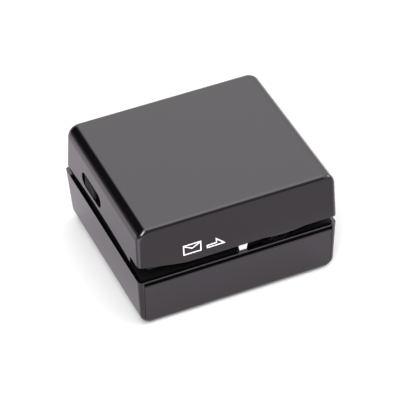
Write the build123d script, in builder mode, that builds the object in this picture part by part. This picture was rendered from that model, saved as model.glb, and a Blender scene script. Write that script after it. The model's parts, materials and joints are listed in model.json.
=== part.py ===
from build123d import *
from math import acos, atan2, cos, degrees, pi, radians, sin, tan
import os

os.makedirs("parts", exist_ok=True)

# Battery letter opener, in millimetres. Z is up, the front faces -Y, and a letter runs from
# left to right (+X) through the slot between the two housings. The origin is on the table,
# under the middle of the body.

# ---- overall sizes -------------------------------------------------------------------
width = 130.0
depth = 118.0
foot_proud = 1.0
lower_height = 34.0
slot_height = 6.0
hood_height = 31.5
wall = 2.2
floor_thickness = 2.2

# ---- how the two housings taper and round off ------------------------------------------
hood_side_taper = 0.7
hood_front_lean = 2.5
hood_back_lean = 3.2
hood_round = 8.2
hood_edge = 3.0
hood_back_edge = 7.0
lower_side_taper = 1.2
lower_front_lean = 0.3
lower_back_lean = 6.4
lower_round = 6.8
lower_edge = 2.8

# ---- fits ------------------------------------------------------------------------------
running_fit = 0.04
slide_gap = 0.1
part_gap = 0.3
seam = 0.25

# ---- letter slot -----------------------------------------------------------------------
letter_depth = 13.0
mouth_length = 32.0
mouth_rise = 6.0
lip_from = 17.0
lip_to = 43.0
lip_drop = 1.2
side_arch_rise = 3.0
side_arch_front = 1.2

# ---- deck and its raised waist ---------------------------------------------------------
deck_thickness = 1.6
waist_wall = 2.0
waist_side_recess = 5.0
waist_back_recess = 10.5
waist_height = 8.0
guide_thickness = 1.5

# ---- gears and cutting head --------------------------------------------------------------
pressure_angle = 25.0
backlash = 0.14
fine_module = 0.5
middle_module = 0.6
coarse_module = 0.8
pinion_teeth = 12
first_teeth = 36
first_small_teeth = 12
second_teeth = 36
second_small_teeth = 12
final_teeth = 30
cutter_teeth = 20
gear_face = 3.2
gear_gap = 0.6
cutter_x = 28.5
disc_lap = 0.8
disc_thickness = 1.2
disc_gap = 0.06
strip_width = 2.0
wheel_width = 5.0
nip_gap = 0.3
shaft_radius = 1.5
bush_wall = 1.0
bush_flange = 0.4
pin_radius = 1.0
plate_thickness = 2.5
second_gear_angle = 150.0
first_gear_angle = 190.0
pinion_angle = 180.0

# ---- motor ---------------------------------------------------------------------------------
motor_radius = 12.0
motor_length = 27.0
motor_cap_length = 3.0
motor_shaft_radius = 1.0

# ---- start lever ---------------------------------------------------------------------------
lever_x = 3.9
lever_pivot_rise = 11.0
lever_tab_width = 7.0
lever_tab_end = 4.5
lever_thickness = 1.5
lever_swing = 13.0

# ---- batteries -----------------------------------------------------------------------------
cell_radius = 7.1
cell_length = 49.3
cell_nub_radius = 2.7
cell_nub = 1.2
cell_pitch = 14.8
cell_count = 4
bay_back_gap = 14.0
bay_wall = 1.6
bay_length = 55.0
door_thickness = 1.8
door_lip = 2.2
door_pin_radius = 0.7

# ---- chip drawer ---------------------------------------------------------------------------
drawer_side_gap = 1.5
drawer_depth = 34.6
drawer_wall = 1.5
drawer_height = 15.5
panel_inset = 0.8
panel_thickness = 2.4
finger_gap = 3.0
lip_height = 1.0

# ---- hood hinge, switch, feet, screws ---------------------------------------------------------
hinge_rise = 3.0
hinge_inset = 4.5
hinge_pin_radius = 1.0
knuckle_radius = 2.0
knuckle_length = 8.0
hinge_x = 40.0
switch_y = 14.0
switch_z = 51.5
switch_length = 30.0
switch_height = 9.6
switch_travel = 6.0
foot_radius = 4.5
foot_recess = 0.6
foot_x = 52.0
foot_front_y = -47.0
foot_back_y = 42.0
screw_radius = 1.3
screw_head_radius = 2.6
boss_radius = 3.0
boss_wall_gap = 4.3
boss_front_y = -33.0
boss_back_y = 36.0

# ---- levels and faces that follow ----------------------------------------------------------
half_width = width / 2
half_depth = depth / 2
z_bottom = foot_proud
z_floor = z_bottom + floor_thickness
z_rim = z_bottom + lower_height
z_hood = z_rim + slot_height
z_top = z_hood + hood_height
z_middle = (z_rim + z_hood) / 2
z_deck = z_rim - deck_thickness
z_waist = z_rim + waist_height
y_front = -half_depth
y_inside = y_front + wall
y_fence = y_front + letter_depth
y_cut = y_fence - strip_width
x_waist = half_width - waist_side_recess
y_waist = half_depth - waist_back_recess
y_panel_back = y_front + panel_thickness
drawer_back = y_panel_back + drawer_depth
boss_x = half_width - wall - boss_wall_gap - boss_radius
drawer_half_width = boss_x - boss_radius - drawer_side_gap
panel_half_width = half_width - lower_edge - panel_inset
bay_y = half_depth - bay_back_gap - bay_length / 2

y_plate = y_fence + waist_wall + slide_gap
y_train = y_plate + plate_thickness + gear_gap
y_planes = [y_train + k * (gear_face + gear_gap) for k in range(4)]
y_rear_plate = y_planes[3] + gear_face + gear_gap
y_motor = y_rear_plate + plate_thickness

cutter_pitch = coarse_module * cutter_teeth
upper_axis = (cutter_x, z_middle + cutter_pitch / 2)
lower_axis = (cutter_x, z_middle - cutter_pitch / 2)
disc_radius = cutter_pitch / 2 + disc_lap
wheel_radius = cutter_pitch / 2 - nip_gap / 2
y_wheel = y_cut - 2.2 - wheel_width


def stepped(start, distance, angle):
    """Centre of the next wheel of a train, seen from the front."""
    return (start[0] + distance * cos(radians(angle)), start[1] + distance * sin(radians(angle)))


second_axis = stepped(upper_axis, coarse_module * (final_teeth + second_small_teeth) / 2, second_gear_angle)
first_axis = stepped(second_axis, middle_module * (second_teeth + first_small_teeth) / 2, first_gear_angle)
motor_axis = stepped(first_axis, fine_module * (first_teeth + pinion_teeth) / 2, pinion_angle)


# ---- helpers ---------------------------------------------------------------------------------
def across(y):
    """Plane square to the depth of the body, at y, with its own x along X and y along Z."""
    return Plane.XZ.offset(-y)


def save(piece, label):
    piece.part.label = label
    export_step(piece.part, f"parts/{label}.step")


def rod(at, radius, front, rear, mode=Mode.ADD):
    """Round bar along Y between two depths."""
    with BuildSketch(across(rear)) as section:
        with Locations(at):
            Circle(radius)
    extrude(section.sketch, amount=rear - front, mode=mode)


def post(x, y, radius, low, high, mode=Mode.ADD):
    """Round upright bar."""
    with BuildSketch(Plane.XY.offset(low)) as section:
        with Locations((x, y)):
            Circle(radius)
    extrude(section.sketch, amount=high - low, mode=mode)


def block(x, y, z, mode=Mode.ADD):
    """Rectangular bar between the given pairs of limits."""
    middle = ((x[0] + x[1]) / 2, (y[0] + y[1]) / 2, (z[0] + z[1]) / 2)
    with Locations(middle):
        Box(x[1] - x[0], y[1] - y[0], z[1] - z[0], mode=mode)


def tapered_housing(z_mouth, z_end, side_taper, front_lean, back_lean, corner, edges, inset=0.0, past=0.0):
    """Closed form of a housing: widest at the mouth, leaning in to the rounded end."""
    way = 1 if z_end > z_mouth else -1
    end = z_end - way * inset
    mouth = z_mouth - way * past

    def share(z):
        return (z - z_mouth) / (z_end - z_mouth)

    def side(z):
        return half_width - side_taper * share(z) - inset

    def front(z):
        return -half_depth + front_lean * share(z) + inset

    def back(z):
        return half_depth - back_lean * share(z) - inset

    with BuildPart() as form:
        with BuildSketch(Plane.XZ) as front_view:
            with BuildLine():
                Polyline((-side(mouth), mouth), (side(mouth), mouth), (side(end), end), (-side(end), end), close=True)
            make_face()
            fillet(front_view.vertices().group_by(Axis.Y)[-1 if way > 0 else 0], corner - inset)
        extrude(amount=depth, both=True)
        with BuildSketch(Plane.YZ):
            with BuildLine():
                Polyline((front(mouth), mouth), (back(mouth), mouth), (back(end), end), (front(end), end), close=True)
            make_face()
        extrude(amount=width, both=True, mode=Mode.INTERSECT)
        for which, edge in zip((0, -1), edges):
            face = form.faces().sort_by(Axis.Y)[which]
            outline = [e for e in face.edges() if abs(e.center().Z - mouth) > 0.01]
            fillet(outline, max(edge - inset, 0.6))
    return form.part


def hood_form(inset=0.0, past=0.0):
    return tapered_housing(
        z_hood, z_top, hood_side_taper, hood_front_lean, hood_back_lean, hood_round,
        (hood_edge, hood_back_edge), inset, past
    )


def lower_form(inset=0.0, past=0.0):
    return tapered_housing(
        z_rim, z_bottom, lower_side_taper, lower_front_lean, lower_back_lean, lower_round,
        (lower_edge, lower_edge), inset, past
    )


def involute(angle):
    return tan(angle) - angle


def half_tooth(module, teeth, radius):
    """Half of a tooth's angle at a radius, in radians, for an involute flank."""
    pitch_radius = module * teeth / 2
    base = pitch_radius * cos(radians(pressure_angle))
    at_pitch = pi / (2 * teeth) - backlash / (4 * pitch_radius)
    slope = acos(min(1.0, base / max(radius, base)))
    return at_pitch + involute(radians(pressure_angle)) - involute(slope)


def gear_sketch(at, module, teeth, tooth_angle):
    """Spur gear outline: each flank is one arc through three points of its involute."""
    pitch_radius = module * teeth / 2
    tip = pitch_radius + 0.95 * module
    root = pitch_radius - 1.2 * module

    def point(radius, angle):
        return (at[0] + radius * cos(angle), at[1] + radius * sin(angle))

    with BuildSketch(Plane.XZ) as outline:
        with BuildLine():
            for tooth in range(teeth):
                middle = radians(tooth_angle) + 2 * pi * tooth / teeth
                rising = [(r, middle - half_tooth(module, teeth, r)) for r in (root, pitch_radius, tip)]
                falling = [(r, middle + half_tooth(module, teeth, r)) for r in (tip, pitch_radius, root)]
                next_root = middle + 2 * pi / teeth - half_tooth(module, teeth, root)
                ThreePointArc(*[point(r, a) for r, a in rising])
                Line(point(*rising[-1]), point(*falling[0]))
                ThreePointArc(*[point(r, a) for r, a in falling])
                Line(point(*falling[-1]), point(root, next_root))
        make_face()
    return outline.sketch


def gear(at, module, teeth, tooth_angle, front, face=gear_face):
    """Spur gear along Y, from its front face backwards."""
    flat = gear_sketch(at, module, teeth, tooth_angle)
    extrude(flat.moved(Location((0, front + face, 0))), amount=face, dir=(0, -1, 0))


def meshing(at, teeth, tooth_angle, other_at, other_teeth):
    """Tooth angle of a second gear whose gap meets the first gear's tooth on their line of centres."""
    line = degrees(atan2(other_at[1] - at[1], other_at[0] - at[0]))
    return line + 180 - (tooth_angle - line) * teeth / other_teeth - 180 / other_teeth


upper_tooth = 90.0
lower_tooth = meshing(upper_axis, cutter_teeth, upper_tooth, lower_axis, cutter_teeth)
final_tooth = 90.0
second_small_tooth = meshing(upper_axis, final_teeth, final_tooth, second_axis, second_small_teeth)
second_tooth = second_small_tooth
first_small_tooth = meshing(second_axis, second_teeth, second_tooth, first_axis, first_small_teeth)
first_tooth = first_small_tooth
pinion_tooth = meshing(first_axis, first_teeth, first_tooth, motor_axis, pinion_teeth)


# ---- lower housing ---------------------------------------------------------------------------
bay_half_width = cell_count * cell_pitch / 2 + part_gap
door_half_width = bay_half_width + bay_wall + 0.6
bay_front = bay_y - bay_length / 2
bay_back = bay_y + bay_length / 2
door_front = bay_front - bay_wall - door_lip
door_back = bay_back + bay_wall + 0.6
z_cells = z_bottom + door_thickness + part_gap + cell_radius
z_bay = z_cells + cell_radius + part_gap
door_pin_z = z_bottom + door_thickness / 2
door_pin_y = door_front + door_thickness / 2
door_pin_length = 1.6
panel_high = z_rim - lip_height - finger_gap

with BuildPart() as lower_housing:
    add(lower_form())
    add(lower_form(inset=wall, past=wall + 1), mode=Mode.SUBTRACT)
    panel_gap_x = (-panel_half_width - seam, panel_half_width + seam)
    block(panel_gap_x, (y_front - 1, y_panel_back + seam), (z_bottom - 1, z_rim - lip_height), mode=Mode.SUBTRACT)
    block(panel_gap_x, (y_front - 1, y_inside + 1.5), (z_floor, z_rim - lip_height), mode=Mode.SUBTRACT)
    block((-bay_half_width - bay_wall, bay_half_width + bay_wall), (bay_front - bay_wall, bay_back + bay_wall),
          (z_floor - 0.5, z_bay + bay_wall))
    block((-bay_half_width, bay_half_width), (bay_front, bay_back), (z_bottom - 1, z_bay), mode=Mode.SUBTRACT)
    block((-door_half_width - part_gap, door_half_width + part_gap), (door_front - part_gap, door_back + part_gap),
          (z_bottom - 1, z_bottom + door_thickness + 0.1), mode=Mode.SUBTRACT)
    for side in (-1, 1):
        with BuildSketch(Plane.YZ.offset(side * (door_half_width + part_gap))) as pin_hole:
            with Locations((door_pin_y, door_pin_z)):
                Circle(door_pin_radius + running_fit)
        extrude(pin_hole.sketch, amount=side * (door_pin_length + 0.2), mode=Mode.SUBTRACT)
        for y in (boss_front_y, boss_back_y):
            post(side * boss_x, y, boss_radius, z_floor - 0.5, z_deck)
            post(side * boss_x, y, screw_radius + part_gap / 2, z_bottom - 1, z_rim, mode=Mode.SUBTRACT)
            post(side * boss_x, y, screw_head_radius + part_gap / 2, z_bottom - 1, z_bottom + 3.0, mode=Mode.SUBTRACT)
        for y in (foot_front_y, foot_back_y):
            post(side * foot_x, y, foot_radius + slide_gap, z_bottom - 1, z_bottom + foot_recess, mode=Mode.SUBTRACT)
        block((side * (half_width - wall - 3), side * (half_width - wall + 0.5))[::side], (-8, -6.4), (20, z_deck))
save(lower_housing, "lower_housing")


# ---- battery door on the underside ----------------------------------------------------------
with BuildPart() as battery_door:
    with BuildSketch(Plane.YZ) as door_section:
        with Locations(((door_pin_y + door_back) / 2, door_pin_z)):
            Rectangle(door_back - door_pin_y, door_thickness)
        with Locations((door_pin_y, door_pin_z)):
            Circle(door_thickness / 2)
    extrude(door_section.sketch, amount=door_half_width, both=True)
    for side in (-1, 1):
        with BuildSketch(Plane.YZ.offset(side * door_half_width)) as pin_section:
            with Locations((door_pin_y, door_pin_z)):
                Circle(door_pin_radius)
        extrude(pin_section.sketch, amount=side * (part_gap + door_pin_length))
    with BuildSketch(Plane.XY.offset(z_bottom)) as grip:
        with GridLocations(0, 2.4, 1, 4):
            Rectangle(16, 1.0)
    extrude(grip.sketch.moved(Location((0, door_back - 9, 0))), amount=0.5, mode=Mode.SUBTRACT)
save(battery_door, "battery_door")


# ---- cells with their contacts -----------------------------------------------------------------
cell_rows = [(k - (cell_count - 1) / 2) * cell_pitch for k in range(cell_count)]
contact_thickness = 0.5
cell_front = bay_front + contact_thickness + 2.0
for number, x in enumerate(cell_rows, start=1):
    turned = number % 2 == 0
    with BuildPart() as cell:
        nub_front = cell_front if turned else cell_front + cell_length
        body_front = cell_front + (cell_nub if turned else 0)
        rod((x, z_cells), cell_radius, body_front, body_front + cell_length)
        rod((x, z_cells), cell_nub_radius, nub_front, nub_front + cell_nub)
    save(cell, f"cell_{number}")

cell_back = cell_front + cell_length + cell_nub
with BuildPart() as contact_plates:
    for x in cell_rows:
        block((x - 4.5, x + 4.5), (bay_back - contact_thickness, bay_back), (z_cells - 5, z_cells + 5))
        block((x - 3, x + 3), (cell_back, bay_back - contact_thickness), (z_cells - 1.5, z_cells + 1.5))
save(contact_plates, "contact_plates")

with BuildPart() as contact_springs:
    for x in cell_rows:
        block((x - 4.5, x + 4.5), (bay_front, bay_front + contact_thickness), (z_cells - 5, z_cells + 5))
        with BuildSketch(Plane.YZ.offset(x - 2.5)) as leaf:
            with BuildLine():
                leaf_bow = ThreePointArc(
                    (bay_front + contact_thickness - 0.1, z_cells + 4.8),
                    (cell_front - contact_thickness, z_cells),
                    (bay_front + contact_thickness - 0.1, z_cells - 4.8),
                )
                ThreePointArc(
                    (bay_front + contact_thickness - 0.1, z_cells + 4.2),
                    (cell_front - 2 * contact_thickness, z_cells),
                    (bay_front + contact_thickness - 0.1, z_cells - 4.2),
                )
                Line(leaf_bow @ 0, (bay_front + contact_thickness - 0.1, z_cells + 4.2))
                Line(leaf_bow @ 1, (bay_front + contact_thickness - 0.1, z_cells - 4.2))
            make_face()
        extrude(leaf.sketch, amount=5)
save(contact_springs, "contact_springs")


# ---- feet -------------------------------------------------------------------------------------
with BuildPart() as feet:
    for x in (-foot_x, foot_x):
        for y in (foot_front_y, foot_back_y):
            post(x, y, foot_radius, 0, z_bottom + foot_recess)
    fillet(feet.faces().group_by(Axis.Z)[0].edges(), 0.6)
save(feet, "feet")


# ---- deck: slot floor, fence and raised waist ----------------------------------------------------
window_x = (cutter_x - disc_radius - 5.4, cutter_x + disc_radius + 5.4)
wheel_window_x = (cutter_x - disc_radius - 0.6, cutter_x + disc_radius + 0.6)
train_back = y_rear_plate + plate_thickness + 0.5
lever_y = y_front + 3.1
hinge_y = half_depth - hinge_inset
hinge_z = z_hood + hinge_rise
guide_post_x = 53.0
guide_post_half = 3.5
guide_post_y = (y_fence + waist_wall - 0.2, y_fence + waist_wall + 6.0)
board_posts = [(-50.0, -16.5), (-50.0, 16.0), (-22.0, 16.0)]
z_board = z_rim + 4.0

with BuildPart() as deck:
    with BuildSketch(Plane.XY.offset(z_deck)) as deck_outline:
        inner = wall + slide_gap
        Rectangle(width - 2 * inner - 0.3, depth - 2 * inner - 0.8)
        fillet(deck_outline.vertices(), 1.5)
    extrude(deck_outline.sketch, amount=deck_thickness)
    with BuildSketch(Plane.XY.offset(z_rim)) as waist_outline:
        with Locations((0, (y_fence + y_waist) / 2)):
            Rectangle(2 * x_waist, y_waist - y_fence)
        fillet(waist_outline.vertices(), 3)
        offset(amount=-waist_wall, mode=Mode.SUBTRACT)
    extrude(waist_outline.sketch, amount=waist_height)
    block(window_x, (y_fence + waist_wall, train_back), (z_deck - 1, z_rim + 1), mode=Mode.SUBTRACT)
    block(wheel_window_x, (y_inside + 0.9, y_cut + 0.2), (z_deck - 1, z_rim + 1), mode=Mode.SUBTRACT)
    block((cutter_x, cutter_x + 28), (y_cut, y_fence - 0.2), (z_deck - 1, z_rim + 1), mode=Mode.SUBTRACT)
    block((lever_x - 3.2, lever_x + lever_swing), (lever_y - 0.5, lever_y + lever_thickness + 0.5),
          (z_deck - 1, z_rim + 1), mode=Mode.SUBTRACT)
    for side in (-1, 1):
        block((side * guide_post_x - guide_post_half, side * guide_post_x + guide_post_half), guide_post_y,
              (z_rim, z_waist))
        with Locations((side * guide_post_x, sum(guide_post_y) / 2 + 0.6, z_waist)):
            Hole(0.9, depth=5)
        block((side * hinge_x - knuckle_length / 2, side * hinge_x + knuckle_length / 2),
              (hinge_y - knuckle_radius, hinge_y + knuckle_radius), (z_rim - 0.2, hinge_z))
        with BuildSketch(Plane.YZ.offset(side * hinge_x - knuckle_length / 2)) as knuckle:
            with Locations((hinge_y, hinge_z)):
                Circle(knuckle_radius)
        extrude(knuckle.sketch, amount=knuckle_length)
        with BuildSketch(Plane.YZ.offset(side * hinge_x - knuckle_length / 2 - 1)) as knuckle_bore:
            with Locations((hinge_y, hinge_z)):
                Circle(hinge_pin_radius)
        extrude(knuckle_bore.sketch, amount=knuckle_length + 2, mode=Mode.SUBTRACT)
        for y in (boss_front_y, boss_back_y):
            post(side * boss_x, y, screw_radius + 1.2, z_rim - 0.2, z_rim + 5)
            post(side * boss_x, y, screw_radius, z_deck - 1, z_rim + 4, mode=Mode.SUBTRACT)
    for x, y in board_posts:
        post(x, y, 2.4, z_rim - 0.2, z_board)
        post(x, y, 0.8, z_rim + 0.5, z_board + 1, mode=Mode.SUBTRACT)
save(deck, "deck")


# ---- hinge pins and housing screws --------------------------------------------------------------
lug_length = 4.0
with BuildPart() as hinge_pins:
    for side in (-1, 1):
        start = side * (hinge_x - knuckle_length / 2)
        with BuildSketch(Plane.YZ.offset(start)) as pin_section:
            with Locations((hinge_y, hinge_z)):
                Circle(hinge_pin_radius)
        extrude(pin_section.sketch, amount=side * (knuckle_length + part_gap + lug_length))
save(hinge_pins, "hinge_pins")

with BuildPart() as housing_screws:
    for x in (-boss_x, boss_x):
        for y in (boss_front_y, boss_back_y):
            post(x, y, screw_radius, z_bottom + 3.0 - 0.1, z_rim + 4)
            post(x, y, screw_head_radius, z_bottom + 1.2, z_bottom + 3.0)
save(housing_screws, "housing_screws")


# ---- upper guide: ceiling of the slot ------------------------------------------------------------
z_guide = z_hood + 0.2
with BuildPart() as upper_guide:
    guide_front = y_inside + 0.9
    block((-x_waist + 1.5, x_waist - 1.5), (guide_front, y_fence - 0.1), (z_guide, z_guide + guide_thickness))
    block((cutter_x - disc_radius - 0.8, cutter_x + disc_radius + 0.8), (guide_front - 1, y_cut + 1.4),
          (z_guide - 1, z_guide + 3), mode=Mode.SUBTRACT)
    block((lever_x - 4.2, lever_x + lever_swing - 1), (guide_front - 1, lever_y + lever_thickness + 2.2),
          (z_guide - 1, z_guide + 3), mode=Mode.SUBTRACT)
    for side in (-1, 1):
        ear = (side * guide_post_x - 3.5, side * guide_post_x + 3.5)
        block(ear, (y_fence - 1.6, y_fence - 0.1), (z_guide, z_waist + 1.5))
        block(ear, (y_fence - 1.6, guide_post_y[1] - 0.4), (z_waist, z_waist + 1.5))
        with Locations((side * guide_post_x, sum(guide_post_y) / 2 + 0.6, z_waist + 1.5)):
            Hole(0.9 + 0.1, depth=3)
    mouth_edges = [e for e in upper_guide.edges().filter_by(Axis.Y) if abs(e.center().Z - z_guide) < 0.01]
    chamfer([e for e in mouth_edges if abs(abs(e.center().X) - x_waist + 1.5) < 0.01], 0.9)
save(upper_guide, "upper_guide")


# ---- gearbox ----------------------------------------------------------------------------------
bearing_radius = shaft_radius + bush_wall
plate_margin = 4.6
ear_left = motor_axis[0] - 12.0
ear_right = cutter_x + 20.0
shaft_axes = [upper_axis, lower_axis]
pin_axes = [second_axis, first_axis]
spacer_points = [(ear_left + 4, z_rim + 8), (ear_left + 4, z_rim + 26), (ear_right - 5, z_rim + 8),
                 (ear_right - 9, z_rim + 26)]


def plate_outline(y):
    """Outline of a gearbox plate: a broad upper part on the deck and a tongue round the lower shaft."""
    with BuildSketch(across(y)) as outline:
        with BuildLine():
            Polyline(
                (ear_left, z_rim), (window_x[0] + 0.5, z_rim), (window_x[0] + 0.5, lower_axis[1] - plate_margin),
                (window_x[1] - 0.5, lower_axis[1] - plate_margin), (window_x[1] - 0.5, z_rim), (ear_right, z_rim),
                (ear_right, z_rim + 12), (ear_right - 4, z_rim + 30), (ear_left, z_rim + 30), close=True,
            )
        make_face()
        fillet(outline.vertices().group_by(Axis.Y)[-1], 4)
        fillet(outline.vertices().group_by(Axis.Y)[0], 3)
    return outline.sketch


def gearbox_plate(front, ear_way):
    """One plate with its bearing holes and two feet that stand on the deck."""
    rear = front + plate_thickness
    with BuildPart() as plate:
        extrude(plate_outline(rear), amount=plate_thickness)
        for x in (ear_left, ear_right - 8):
            ear_y = (rear, rear + 5) if ear_way > 0 else (front - 5, front)
            block((x, x + 8), ear_y, (z_rim, z_rim + 2.5))
            post(x + 4, sum(ear_y) / 2 + ear_way * 0.4, 1.1, z_rim - 1, z_rim + 4, mode=Mode.SUBTRACT)
        for at in shaft_axes:
            rod(at, bearing_radius, front - 1, rear + 1, mode=Mode.SUBTRACT)
        for at in pin_axes:
            rod(at, pin_radius, front - 1, rear + 1, mode=Mode.SUBTRACT)
    return plate


gearbox_front = gearbox_plate(y_plate, 1)
save(gearbox_front, "gearbox_front")

gearbox_rear = gearbox_plate(y_rear_plate, -1)
with gearbox_rear:
    rod(motor_axis, 3.2, y_rear_plate - 1, y_motor + 1, mode=Mode.SUBTRACT)
    for angle in (90, 270):
        rod(stepped(motor_axis, 8, angle), 1.1, y_rear_plate - 1, y_motor + 1, mode=Mode.SUBTRACT)
save(gearbox_rear, "gearbox_rear")

with BuildPart() as gearbox_spacers:
    for at in spacer_points:
        rod(at, 2.5, y_plate + plate_thickness, y_rear_plate)
save(gearbox_spacers, "gearbox_spacers")

with BuildPart() as gear_axles:
    for at in pin_axes:
        rod(at, pin_radius, y_plate, y_motor)
save(gear_axles, "gear_axles")

with BuildPart() as shaft_bushes:
    for at in shaft_axes:
        for front, flange in ((y_plate, y_plate + plate_thickness), (y_rear_plate, y_rear_plate - bush_flange)):
            rod(at, bearing_radius, front, front + plate_thickness)
            rod(at, bearing_radius + 0.8, flange, flange + bush_flange)
            rod(at, shaft_radius + running_fit, front - 2, front + plate_thickness + 2, mode=Mode.SUBTRACT)
save(shaft_bushes, "shaft_bushes")


# ---- cutting head: one shaft above the slot and one below ------------------------------------------
def cutter_shaft(at):
    with BuildPart() as shaft:
        rod(at, shaft_radius, y_wheel, y_motor + 1.0)
        chamfer(shaft.edges().sort_by(Axis.Y)[-1], 0.3)
    return shaft


def feed_wheel(at, bore, ribs):
    """Wheel that pulls the letter along; the lower one is knurled, the upper one is soft."""
    with BuildPart() as wheel:
        if ribs:
            points = []
            for rib in range(ribs):
                for radius, shift in ((wheel_radius - 0.45, 0), (wheel_radius, 0.5)):
                    points.append(stepped(at, radius, 360 * (rib + shift) / ribs))
            with BuildSketch(across(y_wheel + wheel_width)) as rim:
                with BuildLine():
                    Polyline(*points, close=True)
                make_face()
            extrude(rim.sketch, amount=wheel_width)
        else:
            rod(at, wheel_radius, y_wheel, y_wheel + wheel_width)
        rod(at, wheel_radius - 1.8, y_wheel - 1, y_wheel + 0.9, mode=Mode.SUBTRACT)
        rod(at, 3.0, y_wheel + 0.9, y_wheel + wheel_width)
        rod(at, bore, y_wheel - 1, y_wheel + wheel_width + 1, mode=Mode.SUBTRACT)
    return wheel


def cutter_disc(at, front, bevel_front):
    """Steel disc with one ground bevel and a boss, turned about its shaft."""
    bevel = 0.7
    rear = front + disc_thickness
    with BuildPart() as disc:
        rod(at, disc_radius, front, rear)
        edges = disc.edges().filter_by(GeomType.CIRCLE).sort_by(Axis.Y)
        chamfer(edges[0] if bevel_front else edges[-1], bevel)
        rod(at, shaft_radius, front - 1, rear + 1, mode=Mode.SUBTRACT)
        for angle in range(0, 360, 60):
            rod(stepped(at, 5.2, angle), 1.0, front - 1, rear + 1, mode=Mode.SUBTRACT)
    return disc


def cutter_gear(at, tooth_angle):
    with BuildPart() as wheel:
        gear(at, coarse_module, cutter_teeth, tooth_angle, y_planes[0])
        rod(at, 5.2, y_planes[0] - 0.1, y_planes[0] + 0.7, mode=Mode.SUBTRACT)
        rod(at, 3.0, y_planes[0] - gear_gap + bush_flange + slide_gap / 2, y_planes[0] + gear_face)
        rod(at, shaft_radius, y_planes[0] - 2, y_planes[0] + gear_face + 1, mode=Mode.SUBTRACT)
    return wheel


def hub_nut(at):
    with BuildPart() as nut:
        with BuildSketch(across(y_wheel + 0.9)) as hexagon:
            with Locations(at):
                RegularPolygon(2.5, 6)
        extrude(hexagon.sketch, amount=0.8)
        rod(at, shaft_radius, y_wheel - 1, y_wheel + 2, mode=Mode.SUBTRACT)
    return nut


y_lower_disc = y_cut - disc_gap / 2 - disc_thickness
y_upper_disc = y_cut + disc_gap / 2
for row, at, tooth, disc_front, ribs in (
    ("upper", upper_axis, upper_tooth, y_upper_disc, 0),
    ("lower", lower_axis, lower_tooth, y_lower_disc, 40),
):
    save(cutter_shaft(at), f"{row}_cutter_shaft")
    save(feed_wheel(at, shaft_radius, ribs), f"{row}_feed_wheel")
    save(cutter_disc(at, disc_front, row == "lower"), f"{row}_cutter_disc")
    save(cutter_gear(at, tooth), f"{row}_cutter_gear")
    save(hub_nut(at), f"{row}_hub_nut")

with BuildPart() as final_gear:
    gear(upper_axis, coarse_module, final_teeth, final_tooth, y_planes[1])
    for front in (y_planes[1] - 0.1, y_planes[1] + gear_face - 0.9):
        rod(upper_axis, 10.0, front, front + 1.0, mode=Mode.SUBTRACT)
    rod(upper_axis, 3.2, y_planes[1] - gear_gap, y_planes[1] + gear_face)
    rod(upper_axis, shaft_radius, y_planes[1] - 2, y_planes[1] + gear_face + 1, mode=Mode.SUBTRACT)
save(final_gear, "final_gear")


# ---- reduction gears and motor --------------------------------------------------------------------
def double_gear(at, large, small, large_plane, small_plane):
    """Moulded gear pair on one hub; large and small are (module, teeth, tooth angle)."""
    front = min(y_planes[large_plane], y_planes[small_plane])
    rear = max(y_planes[large_plane], y_planes[small_plane]) + gear_face
    with BuildPart() as pair:
        gear(at, *large, y_planes[large_plane])
        recess = large[0] * large[1] / 2 - 2.0
        behind = y_planes[large_plane] + gear_face
        rod(at, recess, behind - 0.8, behind + 0.1, mode=Mode.SUBTRACT)
        gear(at, *small, y_planes[small_plane])
        rod(at, 2.2, front - gear_gap + slide_gap, rear + gear_gap - slide_gap)
        rod(at, pin_radius + running_fit, front - 3, rear + 3, mode=Mode.SUBTRACT)
    return pair


second_gear = double_gear(
    second_axis, (middle_module, second_teeth, second_tooth), (coarse_module, second_small_teeth, second_small_tooth),
    2, 1,
)
save(second_gear, "second_gear")
first_gear = double_gear(
    first_axis, (fine_module, first_teeth, first_tooth), (middle_module, first_small_teeth, first_small_tooth), 3, 2
)
save(first_gear, "first_gear")

with BuildPart() as motor_pinion:
    gear(motor_axis, fine_module, pinion_teeth, pinion_tooth, y_planes[3], gear_face + gear_gap)
    rod(motor_axis, motor_shaft_radius, y_planes[3] - 1, y_motor, mode=Mode.SUBTRACT)
save(motor_pinion, "motor_pinion")

with BuildPart() as motor_shaft:
    rod(motor_axis, motor_shaft_radius, y_planes[3] - 0.4, y_motor + motor_length - 2)
save(motor_shaft, "motor_shaft")

with BuildPart() as motor_can:
    rod(motor_axis, motor_radius, y_motor, y_motor + motor_length)
    fillet(motor_can.edges().sort_by(Axis.Y)[0], 1.2)
    for side in (-1, 1):
        flat = motor_radius - 2.0
        z = sorted((motor_axis[1] + side * flat, motor_axis[1] + side * (motor_radius + 1)))
        block((motor_axis[0] - 20, motor_axis[0] + 20), (y_motor - 1, y_motor + motor_length + 1), z,
              mode=Mode.SUBTRACT)
    rod(motor_axis, motor_shaft_radius + running_fit, y_motor - 1, y_motor + motor_length - 2, mode=Mode.SUBTRACT)
    for angle in (90, 270):
        rod(stepped(motor_axis, 8, angle), 0.85, y_motor - 1, y_motor + 3, mode=Mode.SUBTRACT)
save(motor_can, "motor_can")

with BuildPart() as motor_end_cap:
    cap_front = y_motor + motor_length
    rod(motor_axis, motor_radius - 2.2, cap_front, cap_front + motor_cap_length)
    rod(motor_axis, 3.0, cap_front, cap_front + motor_cap_length + 1.5)
    for side in (-1, 1):
        block((motor_axis[0] + side * 6 - 0.3, motor_axis[0] + side * 6 + 0.3),
              (cap_front + motor_cap_length - 0.5, cap_front + motor_cap_length + 4),
              (motor_axis[1] - 1.4, motor_axis[1] + 1.4))
save(motor_end_cap, "motor_end_cap")

with BuildPart() as motor_screws:
    for angle in (90, 270):
        at = stepped(motor_axis, 8, angle)
        rod(at, 0.85, y_rear_plate, y_motor + 3)
        rod(at, 1.9, y_rear_plate - 1.0, y_rear_plate)
save(motor_screws, "motor_screws")

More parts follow.
